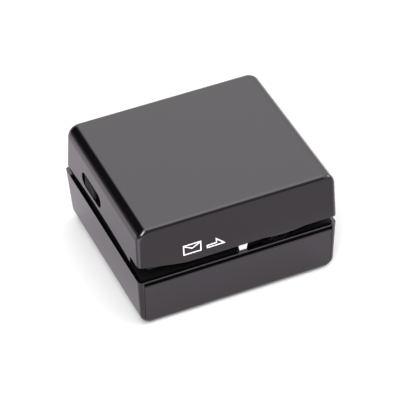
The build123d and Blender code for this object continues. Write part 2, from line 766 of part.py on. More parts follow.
with BuildPart() as gearbox_screws:
    for front, ear_way in ((y_plate, 1), (y_rear_plate, -1)):
        middle = front + plate_thickness + 2.9 if ear_way > 0 else front - 2.9
        for x in (ear_left + 4, ear_right - 4):
            post(x, middle, 1.1, z_rim, z_rim + 2.6)
            post(x, middle, 2.0, z_rim + 2.5, z_rim + 3.8)
save(gearbox_screws, "gearbox_screws")

with BuildPart() as guide_screws:
    for side in (-1, 1):
        middle = sum(guide_post_y) / 2 + 0.6
        post(side * guide_post_x, middle, 0.9, z_waist - 4, z_waist + 1.6)
        post(side * guide_post_x, middle, 1.8, z_waist + 1.5, z_waist + 2.7)
save(guide_screws, "guide_screws")


# ---- start lever with its pin, spring and switch ------------------------------------------------
lever_pivot = (lever_x, z_hood + lever_pivot_rise)
lever_back = y_plate - 0.3
lever_hub_front = lever_y + 3.0
switch_at = (lever_x - 12.5, lever_pivot[1] + 3.0)

with BuildPart() as start_lever:
    with BuildSketch(across(lever_y + lever_thickness)) as tab:
        with BuildLine():
            Polyline(
                (lever_x - lever_tab_end / 2, z_rim - 1), (lever_x + lever_tab_end / 2, z_rim - 1),
                (lever_x + lever_tab_width / 2, z_hood + 0.6), (lever_x + 2.2, z_hood + 4.5),
                (lever_x - 2.2, z_hood + 4.5), (lever_x - lever_tab_width / 2, z_hood + 0.6), close=True,
            )
        make_face()
    extrude(tab.sketch, amount=lever_thickness)
    block((lever_x - 2.2, lever_x + 2.2), (lever_y, lever_hub_front + 0.5), (z_hood + 3.0, z_hood + 4.5))
    block((lever_x - 2.2, lever_x + 2.2), (lever_hub_front, lever_hub_front + 2.5), (z_hood + 3.0, lever_pivot[1]))
    rod(lever_pivot, 3.0, lever_hub_front, lever_back)
    block((lever_x - 9.0, lever_x), (lever_back - 2.5, lever_back), (lever_pivot[1] + 0.2, lever_pivot[1] + 2.4))
    rod(lever_pivot, pin_radius + running_fit, lever_hub_front - 1, lever_back + 1, mode=Mode.SUBTRACT)
save(start_lever, "start_lever")

with BuildPart() as lever_pin:
    rod(lever_pivot, pin_radius, lever_hub_front - 0.8, y_plate)
    rod(lever_pivot, 1.8, lever_hub_front - 0.8, lever_hub_front - 0.2)
save(lever_pin, "lever_pin")

with BuildPart() as micro_switch:
    block((switch_at[0] - 5, switch_at[0] + 5), (y_plate - 5.0, y_plate), (switch_at[1], switch_at[1] + 6.0))
    block((switch_at[0] + 2.5, switch_at[0] + 4.0), (y_plate - 3.2, y_plate - 1.8),
          (switch_at[1] - 0.5, switch_at[1]))
    for shift in (-3.5, 0, 3.5):
        block((switch_at[0] + shift - 0.3, switch_at[0] + shift + 0.3), (y_plate - 3.2, y_plate - 1.8),
              (switch_at[1] + 6.0, switch_at[1] + 9.0))
save(micro_switch, "micro_switch")


# ---- circuit board -----------------------------------------------------------------------------
board_thickness = 1.6
with BuildPart() as circuit_board:
    block((-54.0, -18.0), (-21.0, 20.0), (z_board, z_board + board_thickness))
    for x, y in board_posts:
        post(x, y, 1.1, z_board - 1, z_board + 3, mode=Mode.SUBTRACT)
    for x, y, size in ((-34.0, 2.0, 5.0), (-46.0, 4.0, 3.0), (-38.0, -12.0, 2.0), (-38.0, 13.0, 2.0)):
        block((x - size, x + size), (y - size / 2, y + size / 2),
              (z_board + board_thickness, z_board + board_thickness + size / 2))
save(circuit_board, "circuit_board")

with BuildPart() as capacitor:
    post(-48.0, -8.0, 3.15, z_board + board_thickness, z_board + board_thickness + 11)
    fillet(capacitor.edges().sort_by(Axis.Z)[-1], 0.6)
save(capacitor, "capacitor")

with BuildPart() as board_screws:
    for x, y in board_posts:
        post(x, y, 0.8, z_rim + 0.6, z_board + board_thickness)
        post(x, y, 1.8, z_board + board_thickness, z_board + board_thickness + 1.2)
save(board_screws, "board_screws")


# ---- hood -------------------------------------------------------------------------------------------
switch_recess = 1.8
switch_pan = 0.8
pan_margin = 1.5
switch_x = -half_width + hood_side_taper * (switch_z - z_hood) / hood_height
knob_half_length = 8.0
knob_ribs = 9
rib_pitch = 1.6
slot_half_height = switch_height / 2 - 0.8

with BuildPart() as hood:
    add(hood_form())
    add(hood_form(inset=wall, past=wall + 1), mode=Mode.SUBTRACT)
    mouth_end = -half_width + mouth_length
    with BuildSketch(across(y_fence)) as letter_mouth:
        with BuildLine():
            slope = Line((-half_width - 1, z_hood + mouth_rise), (mouth_end - 8, z_hood + mouth_rise * 0.2))
            TangentArc(slope @ 1, (mouth_end, z_hood), tangent=slope % 1)
            Polyline((mouth_end, z_hood), (mouth_end, z_hood - 1), (-half_width - 1, z_hood - 1), slope @ 0)
        make_face()
    extrude(letter_mouth.sketch, amount=letter_depth + 1, mode=Mode.SUBTRACT)
    with BuildSketch(across(y_front + wall)) as letter_lip:
        with BuildLine():
            ThreePointArc((lip_from, z_hood), ((lip_from + lip_to) / 2, z_hood - lip_drop), (lip_to, z_hood))
            Polyline((lip_to, z_hood), (lip_to, z_hood + 1), (lip_from, z_hood + 1), (lip_from, z_hood))
        make_face()
    extrude(letter_lip.sketch, amount=wall - 0.1)
    with BuildSketch(Plane.YZ.offset(-half_width - 1)) as side_arch:
        with BuildLine():
            ThreePointArc((half_depth - 2, z_hood), (switch_y, z_hood + side_arch_rise),
                          (y_fence - 1, z_hood + side_arch_front))
            Polyline((y_fence - 1, z_hood + side_arch_front), (y_fence - 1, z_hood - 1),
                     (half_depth - 2, z_hood - 1), (half_depth - 2, z_hood))
        make_face()
    extrude(side_arch.sketch, amount=wall + 1.5, mode=Mode.SUBTRACT)
    block((switch_x + wall - 0.4, switch_x + wall + switch_pan),
          (switch_y - switch_length / 2 - pan_margin, switch_y + switch_length / 2 + pan_margin),
          (switch_z - switch_height / 2 - pan_margin, switch_z + switch_height / 2 + pan_margin))
    with BuildSketch(Plane.YZ.offset(-half_width - 1)) as recess:
        with Locations((switch_y, switch_z)):
            SlotOverall(switch_length, switch_height)
    extrude(recess.sketch, amount=switch_x + half_width + 1 + switch_recess, mode=Mode.SUBTRACT)
    with BuildSketch(Plane.YZ.offset(-half_width)) as knob_way:
        with Locations((switch_y, switch_z)):
            Rectangle(switch_travel + 5.0, 2.4)
    extrude(knob_way.sketch, amount=8, mode=Mode.SUBTRACT)
    for side in (-1, 1):
        gap = knuckle_length / 2 + 0.4
        block((side * hinge_x - gap, side * hinge_x + gap), (half_depth - 5.5, half_depth + 1),
              (z_hood - 1, hinge_z + 3.6), mode=Mode.SUBTRACT)
        lug_start = side * (hinge_x + knuckle_length / 2 + part_gap)
        lug_x = sorted((lug_start, lug_start + side * lug_length))
        block(lug_x, (hinge_y - knuckle_radius, half_depth - wall + 0.1), (hinge_z - knuckle_radius, hinge_z + 5))
        with BuildSketch(Plane.YZ.offset(lug_x[0] - 0.5)) as lug_bore:
            with Locations((hinge_y, hinge_z)):
                Circle(hinge_pin_radius + running_fit)
        extrude(lug_bore.sketch, amount=lug_length + 1, mode=Mode.SUBTRACT)
save(hood, "hood")

with BuildPart() as switch_knob:
    knob_x = switch_x + switch_recess - 0.2
    knob_y = switch_y + switch_travel / 2
    block((knob_x - 1.0, knob_x), (knob_y - knob_half_length, knob_y + knob_half_length),
          (switch_z - slot_half_height, switch_z + slot_half_height))
    for rib in range(knob_ribs):
        rib_y = knob_y + (rib - (knob_ribs - 1) / 2) * rib_pitch
        block((knob_x - 1.5, knob_x - 0.9), (rib_y - 0.35, rib_y + 0.35),
              (switch_z - slot_half_height + 0.3, switch_z + slot_half_height - 0.3))
    block((knob_x - 0.1, switch_x + wall + switch_pan + 2.8), (knob_y - 2.0, knob_y + 2.0),
          (switch_z - 1.0, switch_z + 1.0))
save(switch_knob, "switch_knob")

with BuildPart() as slide_switch:
    switch_body_x = (switch_x + wall + switch_pan + slide_gap, switch_x + wall + switch_pan + 6.6)
    block(switch_body_x, (switch_y - 9, switch_y + 9), (switch_z - 3.4, switch_z + 3.4))
    block((switch_body_x[0] - 0.5, switch_body_x[0] + 3.2),
          (switch_y - switch_travel / 2 - 2.4, switch_y + switch_travel / 2 + 2.4),
          (switch_z - 1.4, switch_z + 1.4), mode=Mode.SUBTRACT)
    for shift in (-4, 0, 4):
        block((switch_body_x[1] - 0.1, switch_body_x[1] + 3), (switch_y + shift - 0.3, switch_y + shift + 0.3),
              (switch_z - 0.8, switch_z + 0.8))
save(slide_switch, "slide_switch")


# ---- chip drawer ------------------------------------------------------------------------------------
with BuildPart() as chip_drawer:
    tray_low = z_floor + slide_gap
    add(lower_form())
    block((-panel_half_width, panel_half_width), (y_front - 1, y_panel_back), (z_bottom - 1, panel_high),
          mode=Mode.INTERSECT)
    fillet(chip_drawer.edges().filter_by(Axis.X).group_by(Axis.Z)[-1].sort_by(Axis.Y)[0], 0.5)
    block((-drawer_half_width, drawer_half_width), (y_panel_back - 0.2, drawer_back),
          (tray_low, tray_low + drawer_height))
    block((-drawer_half_width + drawer_wall, drawer_half_width - drawer_wall),
          (y_panel_back + drawer_wall, drawer_back - drawer_wall), (tray_low + drawer_wall, z_rim),
          mode=Mode.SUBTRACT)
    block((-panel_half_width, panel_half_width), (y_panel_back - 0.4, y_panel_back + 1.0),
          (panel_high - 1.0, z_deck - part_gap))
save(chip_drawer, "chip_drawer")
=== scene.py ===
import bpy
import bmesh
import json
import math
from mathutils import Matrix, Vector


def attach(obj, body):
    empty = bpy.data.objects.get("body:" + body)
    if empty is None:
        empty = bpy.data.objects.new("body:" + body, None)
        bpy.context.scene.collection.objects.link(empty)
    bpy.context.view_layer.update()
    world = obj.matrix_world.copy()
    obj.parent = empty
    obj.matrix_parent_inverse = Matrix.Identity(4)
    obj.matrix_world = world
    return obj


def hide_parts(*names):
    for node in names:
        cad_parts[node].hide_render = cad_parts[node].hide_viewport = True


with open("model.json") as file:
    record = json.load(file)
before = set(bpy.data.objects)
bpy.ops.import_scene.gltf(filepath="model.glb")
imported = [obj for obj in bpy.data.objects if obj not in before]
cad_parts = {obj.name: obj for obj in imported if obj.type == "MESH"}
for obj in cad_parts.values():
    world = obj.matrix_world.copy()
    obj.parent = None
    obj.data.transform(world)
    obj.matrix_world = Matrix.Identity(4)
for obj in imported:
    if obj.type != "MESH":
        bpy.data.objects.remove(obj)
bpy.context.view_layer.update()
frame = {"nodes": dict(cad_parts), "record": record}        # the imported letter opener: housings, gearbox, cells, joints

mm = 0.001
micron = 0.000001
nodes = frame["nodes"]
bodyOf = {n: b for b, members in frame["record"]["behaviour"]["bodies"].items() for n in members}
slotOf = {s["node"]: s["material_slot"] for s in frame["record"]["subparts"]}


# node group with float sockets; inputs are (name, starting value), outputs are names
def newGroup(name, inputs, outputs):
    group = bpy.data.node_groups.new(name, "ShaderNodeTree")
    for label, value in inputs:
        socket = group.interface.new_socket(name=label, in_out="INPUT", socket_type="NodeSocketFloat")
        socket.default_value = value
    for label in outputs:
        group.interface.new_socket(name=label, in_out="OUTPUT", socket_type="NodeSocketFloat")
    ins = group.nodes.new("NodeGroupInput")
    outs = group.nodes.new("NodeGroupOutput")
    return group, ins, outs


# a plain number is set on the socket, anything else is linked to it
def feed(tree, socket, value):
    if isinstance(value, (int, float)):
        socket.default_value = value
    else:
        tree.links.new(value, socket)


def mathNode(tree, operation, a, b):
    node = tree.nodes.new("ShaderNodeMath")
    node.operation = operation
    feed(tree, node.inputs[0], a)
    feed(tree, node.inputs[1], b)
    return node.outputs[0]


def mapRange(tree, value, fromRange, toRange=(0.0, 1.0), eased=False):
    node = tree.nodes.new("ShaderNodeMapRange")
    node.interpolation_type = "SMOOTHSTEP" if eased else "LINEAR"
    tree.links.new(value, node.inputs["Value"])
    for label, setting in zip(("From Min", "From Max", "To Min", "To Max"), (*fromRange, *toRange)):
        feed(tree, node.inputs[label], setting)
    return node.outputs["Result"]


def ownCoords(tree):
    return tree.nodes.new("ShaderNodeTexCoord").outputs["Object"]


# noise on the piece's own coordinates, in features per metre
def noiseNode(tree, scale, detail=2.0, stretch=None):
    coords = ownCoords(tree)
    if stretch:
        mapping = tree.nodes.new("ShaderNodeMapping")
        mapping.inputs["Scale"].default_value = stretch
        tree.links.new(coords, mapping.inputs["Vector"])
        coords = mapping.outputs["Vector"]
    noise = tree.nodes.new("ShaderNodeTexNoise")
    noise.inputs["Detail"].default_value = detail
    tree.links.new(coords, noise.inputs["Vector"])
    feed(tree, noise.inputs["Scale"], scale)
    return noise.outputs["Fac"]


grainLook = {
    "scale": 900.0, "roughness": 0.3, "wander": 0.05, "fineDetail": 3.0,
    "broadScale": 0.06,                        # as a share of the fine noise's scale
    "fineShare": 0.4, "broadShare": 0.6, "spread": (0.3, 0.7),
}


# fine surface grain: a height, and a roughness that wanders round its middle value
def makeGrain():
    group, ins, outs = newGroup(
        "surfaceGrain",
        [(label, grainLook[label.lower()]) for label in ("Scale", "Roughness", "Wander")],
        ["Height", "Roughness"],
    )
    fine = noiseNode(group, ins.outputs["Scale"], grainLook["fineDetail"])
    broad = noiseNode(group, mathNode(group, "MULTIPLY", ins.outputs["Scale"], grainLook["broadScale"]))
    mixed = mathNode(group, "ADD", mathNode(group, "MULTIPLY", fine, grainLook["fineShare"]),
                     mathNode(group, "MULTIPLY", broad, grainLook["broadShare"]))
    low = mathNode(group, "SUBTRACT", ins.outputs["Roughness"], ins.outputs["Wander"])
    high = mathNode(group, "ADD", ins.outputs["Roughness"], ins.outputs["Wander"])
    group.links.new(fine, outs.inputs["Height"])
    group.links.new(mapRange(group, mixed, grainLook["spread"], (low, high)), outs.inputs["Roughness"])
    return group


hairlineLook = {
    "scale": 60.0, "amount": 0.5, "detail": 4.0,
    "streaks": (                               # stretch, then the noise where a line begins and is full
        ((1.0, 22.0, 1.0), (0.66, 0.72)),
        ((18.0, 1.0, 14.0), (0.68, 0.74)),
    ),
    "patchScale": 24.0, "patchSpread": (0.45, 0.65),
}


# hairline scuffs: thin stretched streaks, kept to patches
def makeHairlines():
    group, ins, outs = newGroup(
        "hairlines", [("Scale", hairlineLook["scale"]), ("Amount", hairlineLook["amount"])], ["Mask"]
    )
    runs = []
    for stretch, spread in hairlineLook["streaks"]:
        noise = noiseNode(group, ins.outputs["Scale"], hairlineLook["detail"], stretch)
        runs.append(mapRange(group, noise, spread))
    patches = mapRange(group, noiseNode(group, hairlineLook["patchScale"]), hairlineLook["patchSpread"])
    kept = mathNode(group, "MULTIPLY", mathNode(group, "MAXIMUM", *runs), patches)
    group.links.new(mathNode(group, "MULTIPLY", kept, ins.outputs["Amount"]), outs.inputs["Mask"])
    return group


dustLook = {
    "scale": 420.0, "amount": 0.4, "speckSize": (0.04, 0.09),
    "sparseScale": 160.0, "sparseSpread": (0.58, 0.62),
}


def makeDust():
    group, ins, outs = newGroup(
        "dustSpecks", [("Scale", dustLook["scale"]), ("Amount", dustLook["amount"])], ["Mask"]
    )
    cells = group.nodes.new("ShaderNodeTexVoronoi")
    group.links.new(ownCoords(group), cells.inputs["Vector"])
    group.links.new(ins.outputs["Scale"], cells.inputs["Scale"])
    spot = mapRange(group, cells.outputs["Distance"], dustLook["speckSize"], (1.0, 0.0))
    sparse = mapRange(group, noiseNode(group, dustLook["sparseScale"]), dustLook["sparseSpread"])
    shown = mathNode(group, "MULTIPLY", mathNode(group, "MULTIPLY", spot, sparse), ins.outputs["Amount"])
    group.links.new(shown, outs.inputs["Mask"])
    return group


grainGroup = makeGrain()
hairlineGroup = makeHairlines()
dustGroup = makeDust()
print("shader groups made")


def placed(tree, group, **values):
    node = tree.nodes.new("ShaderNodeGroup")
    node.node_tree = group
    for label, value in values.items():
        node.inputs[label].default_value = value
    return node


# colour that goes from first to second with the mask
def blended(tree, mask, first, second):
    mix = tree.nodes.new("ShaderNodeMix")
    mix.data_type = "RGBA"
    tree.links.new(mask, mix.inputs["Factor"])
    for socket, colour in ((mix.inputs["A"], first), (mix.inputs["B"], second)):
        if isinstance(colour, (tuple, list)):
            socket.default_value = (*colour, 1.0)
        else:
            tree.links.new(colour, socket)
    return mix.outputs["Result"]


def startMaterial(name, metallic=0.0, ior=1.5, sheenTint=None, sheen=0.5):
    material = bpy.data.materials.new(name)
    material.use_nodes = True
    tree = material.node_tree
    shader = tree.nodes["Principled BSDF"]
    shader.inputs["Metallic"].default_value = metallic
    shader.inputs["IOR"].default_value = ior
    shader.inputs["Specular IOR Level"].default_value = sheen
    if sheenTint:
        shader.inputs["Specular Tint"].default_value = (*sheenTint, 1)
    return material, tree, shader


def addBump(tree, shader, height, distance):
    bump = tree.nodes.new("ShaderNodeBump")
    bump.inputs["Distance"].default_value = distance
    bump.inputs["Strength"].default_value = 1.0
    tree.links.new(height, bump.inputs["Height"])
    tree.links.new(bump.outputs["Normal"], shader.inputs["Normal"])


plasticWear = {
    "driftScale": 30.0, "driftSpread": (0.35, 0.65), "driftMost": 0.35, "driftShade": 0.86,
    "speckColour": (0.5, 0.5, 0.5), "speckRoughness": 0.5,
    "scuffGain": 1.5, "scuffLift": 0.03, "scuffRoughness": 0.12,
}


# moulded plastic: grain, slow drift of tone, a little dust and hairline scuffs
def plastic(name, colour, roughness, wander, grain, relief, dust=0.0, scuffs=0.0,
            paler=None, sheenTint=None, sheen=0.5):
    wear = plasticWear
    material, tree, shader = startMaterial(name, sheenTint=sheenTint, sheen=sheen)
    surface = placed(tree, grainGroup, Scale=grain, Roughness=roughness, Wander=wander)
    lines = placed(tree, hairlineGroup, Amount=scuffs).outputs["Mask"]
    specks = placed(tree, dustGroup, Amount=dust).outputs["Mask"]
    pale = paler or tuple(min(1.0, c * wear["scuffGain"] + wear["scuffLift"]) for c in colour)
    drift = mapRange(tree, noiseNode(tree, wear["driftScale"]), wear["driftSpread"],
                     (0.0, wear["driftMost"]))
    tone = blended(tree, drift, colour, tuple(c * wear["driftShade"] for c in colour))
    tone = blended(tree, specks, tone, wear["speckColour"])
    tree.links.new(blended(tree, lines, tone, pale), shader.inputs["Base Color"])
    rough = mathNode(tree, "ADD", surface.outputs["Roughness"],
                     mathNode(tree, "MULTIPLY", lines, wear["scuffRoughness"]))
    rough = mathNode(tree, "ADD", rough, mathNode(tree, "MULTIPLY", specks, wear["speckRoughness"]))
    tree.links.new(rough, shader.inputs["Roughness"])
    addBump(tree, shader, surface.outputs["Height"], relief * micron)
    return material


steelMarks = {
    "scale": 500.0, "detail": 3.0, "spread": (0.3, 0.7), "smoother": 0.7, "rougher": 1.35,
    "tarnishScale": 90.0, "tarnishSpread": (0.4, 0.7), "tarnishShade": 0.55,
}


# machined or plated metal with its tool marks running one way
def steel(name, colour, roughness, along=(1.0, 60.0, 1.0), relief=3.0, tarnish=0.2):
    look = steelMarks
    material, tree, shader = startMaterial(name, metallic=1.0)
    marks = noiseNode(tree, look["scale"], look["detail"], along)
    blotches = mapRange(tree, noiseNode(tree, look["tarnishScale"], look["detail"]), look["tarnishSpread"],
                        (0.0, tarnish))
    dull = tuple(c * look["tarnishShade"] for c in colour)
    tree.links.new(blended(tree, blotches, colour, dull), shader.inputs["Base Color"])
    roughRange = (roughness * look["smoother"], roughness * look["rougher"])
    tree.links.new(mapRange(tree, marks, look["spread"], roughRange), shader.inputs["Roughness"])
    addBump(tree, shader, marks, relief * micron)
    return material


rubberLook = {
    "ior": 1.45, "grain": 2600.0, "roughness": 0.72, "wander": 0.08, "relief": 30.0,
    "wornScale": 220.0, "wornDetail": 3.0, "wornSpread": (0.45, 0.7), "wornMost": 0.5,
    "wornGain": 1.9, "wornLift": 0.01,
}


def rubber(name, colour):
    look = rubberLook
    material, tree, shader = startMaterial(name, ior=look["ior"])
    surface = placed(tree, grainGroup, Scale=look["grain"], Roughness=look["roughness"],
                     Wander=look["wander"])
    worn = mapRange(tree, noiseNode(tree, look["wornScale"], look["wornDetail"]), look["wornSpread"],
                    (0.0, look["wornMost"]))
    pale = tuple(c * look["wornGain"] + look["wornLift"] for c in colour)
    tree.links.new(blended(tree, worn, colour, pale), shader.inputs["Base Color"])
    tree.links.new(surface.outputs["Roughness"], shader.inputs["Roughness"])
    addBump(tree, shader, surface.outputs["Height"], look["relief"] * micron)
    return material


lacquerLook = {
    "sockets": {
        "Scale": 120.0, "Mortar Size": 0.06, "Mortar": (0.05, 0.30, 0.12, 1),
        "Color1": (0.02, 0.16, 0.06, 1), "Color2": (0.025, 0.19, 0.07, 1),
    },
    "grain": 1500.0, "roughness": 0.3, "wander": 0.06, "relief": 20.0,
}


# green lacquer over copper tracks that run on a grid
def circuitLacquer(name):
    look = lacquerLook
    material, tree, shader = startMaterial(name)
    bricks = tree.nodes.new("ShaderNodeTexBrick")
    for label, value in look["sockets"].items():
        bricks.inputs[label].default_value = value
    tree.links.new(ownCoords(tree), bricks.inputs["Vector"])
    tree.links.new(bricks.outputs["Color"], shader.inputs["Base Color"])
    surface = placed(tree, grainGroup, Scale=look["grain"], Roughness=look["roughness"],
                     Wander=look["wander"])
    tree.links.new(surface.outputs["Roughness"], shader.inputs["Roughness"])
    addBump(tree, shader, bricks.outputs["Fac"], look["relief"] * micron)
    return material


plastics = {      # grain is per metre, relief in microns; dust and scuffs from none at 0 to all at 1
    "gloss_black": dict(name="glossBlack", colour=(0.0014, 0.0012, 0.0015), roughness=0.11, wander=0.02,
                        grain=700.0, relief=1.2, dust=0.03, scuffs=0.04, paler=(0.02, 0.02, 0.021),
                        sheenTint=(1.0, 0.93, 0.985)),
    "satin_black": dict(name="satinBlack", colour=(0.004, 0.004, 0.0045), roughness=0.42, wander=0.06,
                        grain=2600.0, relief=12.0, dust=0.06, scuffs=0.2, paler=(0.03, 0.03, 0.032),
                        sheen=0.12),
    "white_plastic": dict(name="whiteLever", colour=(0.92, 0.92, 0.91), roughness=0.30, wander=0.05,
                          grain=1200.0, relief=5.0, scuffs=0.2, paler=(0.6, 0.6, 0.6)),
    "natural_nylon": dict(name="naturalNylon", colour=(0.78, 0.75, 0.66), roughness=0.42, wander=0.06,
                          grain=1500.0, relief=8.0, scuffs=0.2),
    "black_acetal": dict(name="blackAcetal", colour=(0.02, 0.02, 0.022), roughness=0.34, wander=0.05,
                         grain=1500.0, relief=6.0, dust=0.1, scuffs=0.3),
    "grey_nylon": dict(name="greyNylon", colour=(0.16, 0.165, 0.175), roughness=0.5, wander=0.08,
                       grain=1900.0, relief=14.0, dust=0.1, scuffs=0.3),
    "motor_cap": dict(name="motorCap", colour=(0.72, 0.72, 0.7), roughness=0.42, wander=0.05,
                      grain=1300.0, relief=6.0),
    "switch_case": dict(name="switchCase", colour=(0.02, 0.02, 0.023), roughness=0.45, wander=0.05,
                        grain=1800.0, relief=10.0, dust=0.1),
    "capacitor_sleeve": dict(name="capacitorSleeve", colour=(0.012, 0.018, 0.06), roughness=0.22,
                             wander=0.04, grain=1000.0, relief=4.0),
    "cell_sleeve": dict(name="cellSleeve", colour=(0.03, 0.032, 0.036), roughness=0.28, wander=0.05,
                        grain=800.0, relief=4.0, dust=0.05, scuffs=0.3),
}
metals = {        # along stretches the tool marks across their run, relief is in microns
    "bright_steel": dict(name="groundSteel", colour=(0.56, 0.56, 0.57), roughness=0.2),
    "cutter_steel": dict(name="cutterSteel", colour=(0.62, 0.63, 0.65), roughness=0.16,
                         along=(40.0, 1.0, 40.0)),
    "knurled_steel": dict(name="knurledSteel", colour=(0.62, 0.62, 0.64), roughness=0.22,
                          along=(1.0, 30.0, 1.0)),
    "zinc_screw": dict(name="zincScrew", colour=(0.5, 0.52, 0.55), roughness=0.3, along=(30.0, 30.0, 1.0)),
    "zinc_can": dict(name="zincCan", colour=(0.5, 0.51, 0.52), roughness=0.34, along=(1.0, 12.0, 1.0),
                     relief=5.0, tarnish=0.3),
    "nickel": dict(name="nickelStrip", colour=(0.6, 0.58, 0.53), roughness=0.24),
    "brass": dict(name="turnedBrass", colour=(0.68, 0.48, 0.2), roughness=0.22),
    "bronze": dict(name="sinteredBronze", colour=(0.42, 0.27, 0.14), roughness=0.45, along=(1.0, 1.0, 1.0),
                   relief=10.0, tarnish=0.5),
}
finishes = {slot: plastic(**look) for slot, look in plastics.items()}
finishes.update({slot: steel(**look) for slot, look in metals.items()})
finishes["rubber_foot"] = rubber("footRubber", (0.02, 0.02, 0.02))
finishes["soft_rubber"] = rubber("wheelRubber", (0.03, 0.03, 0.032))
finishes["board_green"] = circuitLacquer("circuitLacquer")
for nodeName, obj in nodes.items():
    obj.data.materials.clear()
    obj.data.materials.append(finishes[slotOf[nodeName]])
print("finishes:", len(finishes))


edgeSizes = {        # millimetres of rounding on the crisp edges of each part
    "hood": 0.5, "lower_housing": 0.25, "chip_drawer": 0.25, "deck": 0.2, "upper_guide": 0.15,
    "battery_door": 0.15, "switch_knob": 0.12, "start_lever": 0.15,
}
softening = {"crisp": math.radians(32), "flat": math.radians(0.8), "weld": 0.002 * mm, "segments": 2}


def linked(name, mesh):
    obj = bpy.data.objects.new(name, mesh)
    bpy.context.scene.collection.objects.link(obj)
    return obj


# copy of a part with its crisp edges rounded off, standing for that part
def softened(nodeName, size):
    form = bmesh.new()
    form.from_mesh(nodes[nodeName].data)
    bmesh.ops.remove_doubles(form, verts=form.verts, dist=softening["weld"])
    bmesh.ops.dissolve_limit(form, angle_limit=softening["flat"], verts=form.verts, edges=form.edges)
    crisp = [e for e in form.edges if len(e.link_faces) == 2 and e.calc_face_angle(0) > softening["crisp"]]
    bmesh.ops.bevel(form, geom=crisp, offset=size * mm, offset_type="OFFSET",
                    segments=softening["segments"], profile=0.5, affect="EDGES",
                    clamp_overlap=True, material=-1)
    bmesh.ops.triangulate(form, faces=[f for f in form.faces if len(f.verts) > 4])
    mesh = bpy.data.meshes.new(nodeName + "Soft")
    form.to_mesh(mesh)
    form.free()
    piece = linked(nodeName + "Soft", mesh)
    mesh.materials.append(finishes[slotOf[nodeName]])
    mesh.shade_smooth()
    mesh.set_sharp_from_angle(angle=softening["crisp"])
    weighted = piece.modifiers.new("weighted", "WEIGHTED_NORMAL")
    weighted.keep_sharp = True
    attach(piece, bodyOf[nodeName])
    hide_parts(nodeName)


for nodeName, size in edgeSizes.items():
    softened(nodeName, size)
print("softened parts:", len(edgeSizes))


signs = {        # millimetres; corners are x and z on the hood's leaning front
    "line": 0.7, "ink": 0.05, "lift": 0.01,
    "frontLow": -59.0, "frontLean": 2.5 / 31.5, "hoodLow": 41.0,
    "envelope": (-36.0, -24.3, 46.4, 53.5), "flapTip": 50.0, "flapInset": (0.4, 0.5),
    "arrow": ((-20.9, 46.6), (-8.7, 46.7), (-14.9, 52.3), (-14.9, 49.1), (-20.9, 48.9)),
}
inkLook = dict(name="whiteInk", colour=(0.8, 0.8, 0.82), roughness=0.4, wander=0.06,
               grain=2200.0, relief=4.0)


# point of the hood's leaning front, in metres
def onFront(x, z):
    return Vector((x, signs["frontLow"] + signs["frontLean"] * (z - signs["hoodLow"]), z)) * mm


# closed printed line with an even width inside the given corners
def inkOutline(form, corners):
    face = form.faces.new([form.verts.new(onFront(*c)) for c in corners])
    form.normal_update()
    bmesh.ops.inset_region(form, faces=[face], thickness=signs["line"] * mm, use_boundary=True,
                           use_even_offset=True)
    bmesh.ops.delete(form, geom=[face], context="FACES_ONLY")


# straight printed line between two points
def inkBar(form, start, end):
    start, end = Vector(start), Vector(end)
    along = (end - start).normalized()
    across = Vector((-along.y, along.x)) * signs["line"] / 2
    corners = [start + across, start - across, end - across, end + across]
    form.faces.new([form.verts.new(onFront(*c)) for c in corners])


# envelope and arrow: thin ink laid on the hood
def printedSigns():
    form = bmesh.new()
    left, right, low, high = signs["envelope"]
    insetX, insetZ = signs["flapInset"]
    middle = ((left + right) / 2, signs["flapTip"])
    inkOutline(form, [(left, low), (right, low), (right, high), (left, high)])
    inkBar(form, (left + insetX, high - insetZ), middle)
    inkBar(form, middle, (right - insetX, high - insetZ))
    inkOutline(form, signs["arrow"])
    bmesh.ops.recalc_face_normals(form, faces=form.faces)
    for face in form.faces:
        if face.normal.y > 0:
            face.normal_flip()
    bmesh.ops.translate(form, verts=form.verts, vec=(0, -signs["lift"] * mm, 0))
    bmesh.ops.solidify(form, geom=form.faces[:], thickness=-signs["ink"] * mm)
    mesh = bpy.data.meshes.new("printedSigns")
    form.to_mesh(mesh)
    form.free()
    piece = linked("printedSigns", mesh)
    mesh.materials.append(plastic(**inkLook))
    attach(piece, "hood")


printedSigns()
print("printed signs on")


floorLook = {        # metres; the camera meets the seen tone, light and gloss meet the others
    "size": 6.0, "roughness": 0.9, "seen": (0.51, 0.51, 0.51), "mirrored": (0.41, 0.38, 0.41),
    "patches": (     # painted light and shade, met only by light and gloss: tone, then where it begins and is full along x and along y
        ((0.66, 0.61, 0.66), (-0.08, -0.22), (0.02, 0.16)),           # painted light, brighter at the back left
        ((0.13, 0.12, 0.13), (-0.02, 0.08), (0.06, 0.14)),            # painted shadow, dim at the back right
        ((0.57, 0.53, 0.57), (-0.08, -0.055), (-0.13, -0.095)),       # painted light near the lower front
        ((0.95, 0.90, 0.95), (-0.085, -0.11), (-0.055, -0.08)),       # painted light off the front left corner, mirrored as a highlight on the hood's edge
    ),
}


def splitAxes(tree, coords):
    split = tree.nodes.new("ShaderNodeSeparateXYZ")
    tree.links.new(coords, split.inputs["Vector"])
    return split.outputs


def cameraRay(tree):
    return tree.nodes.new("ShaderNodeLightPath").outputs["Is Camera Ray"]


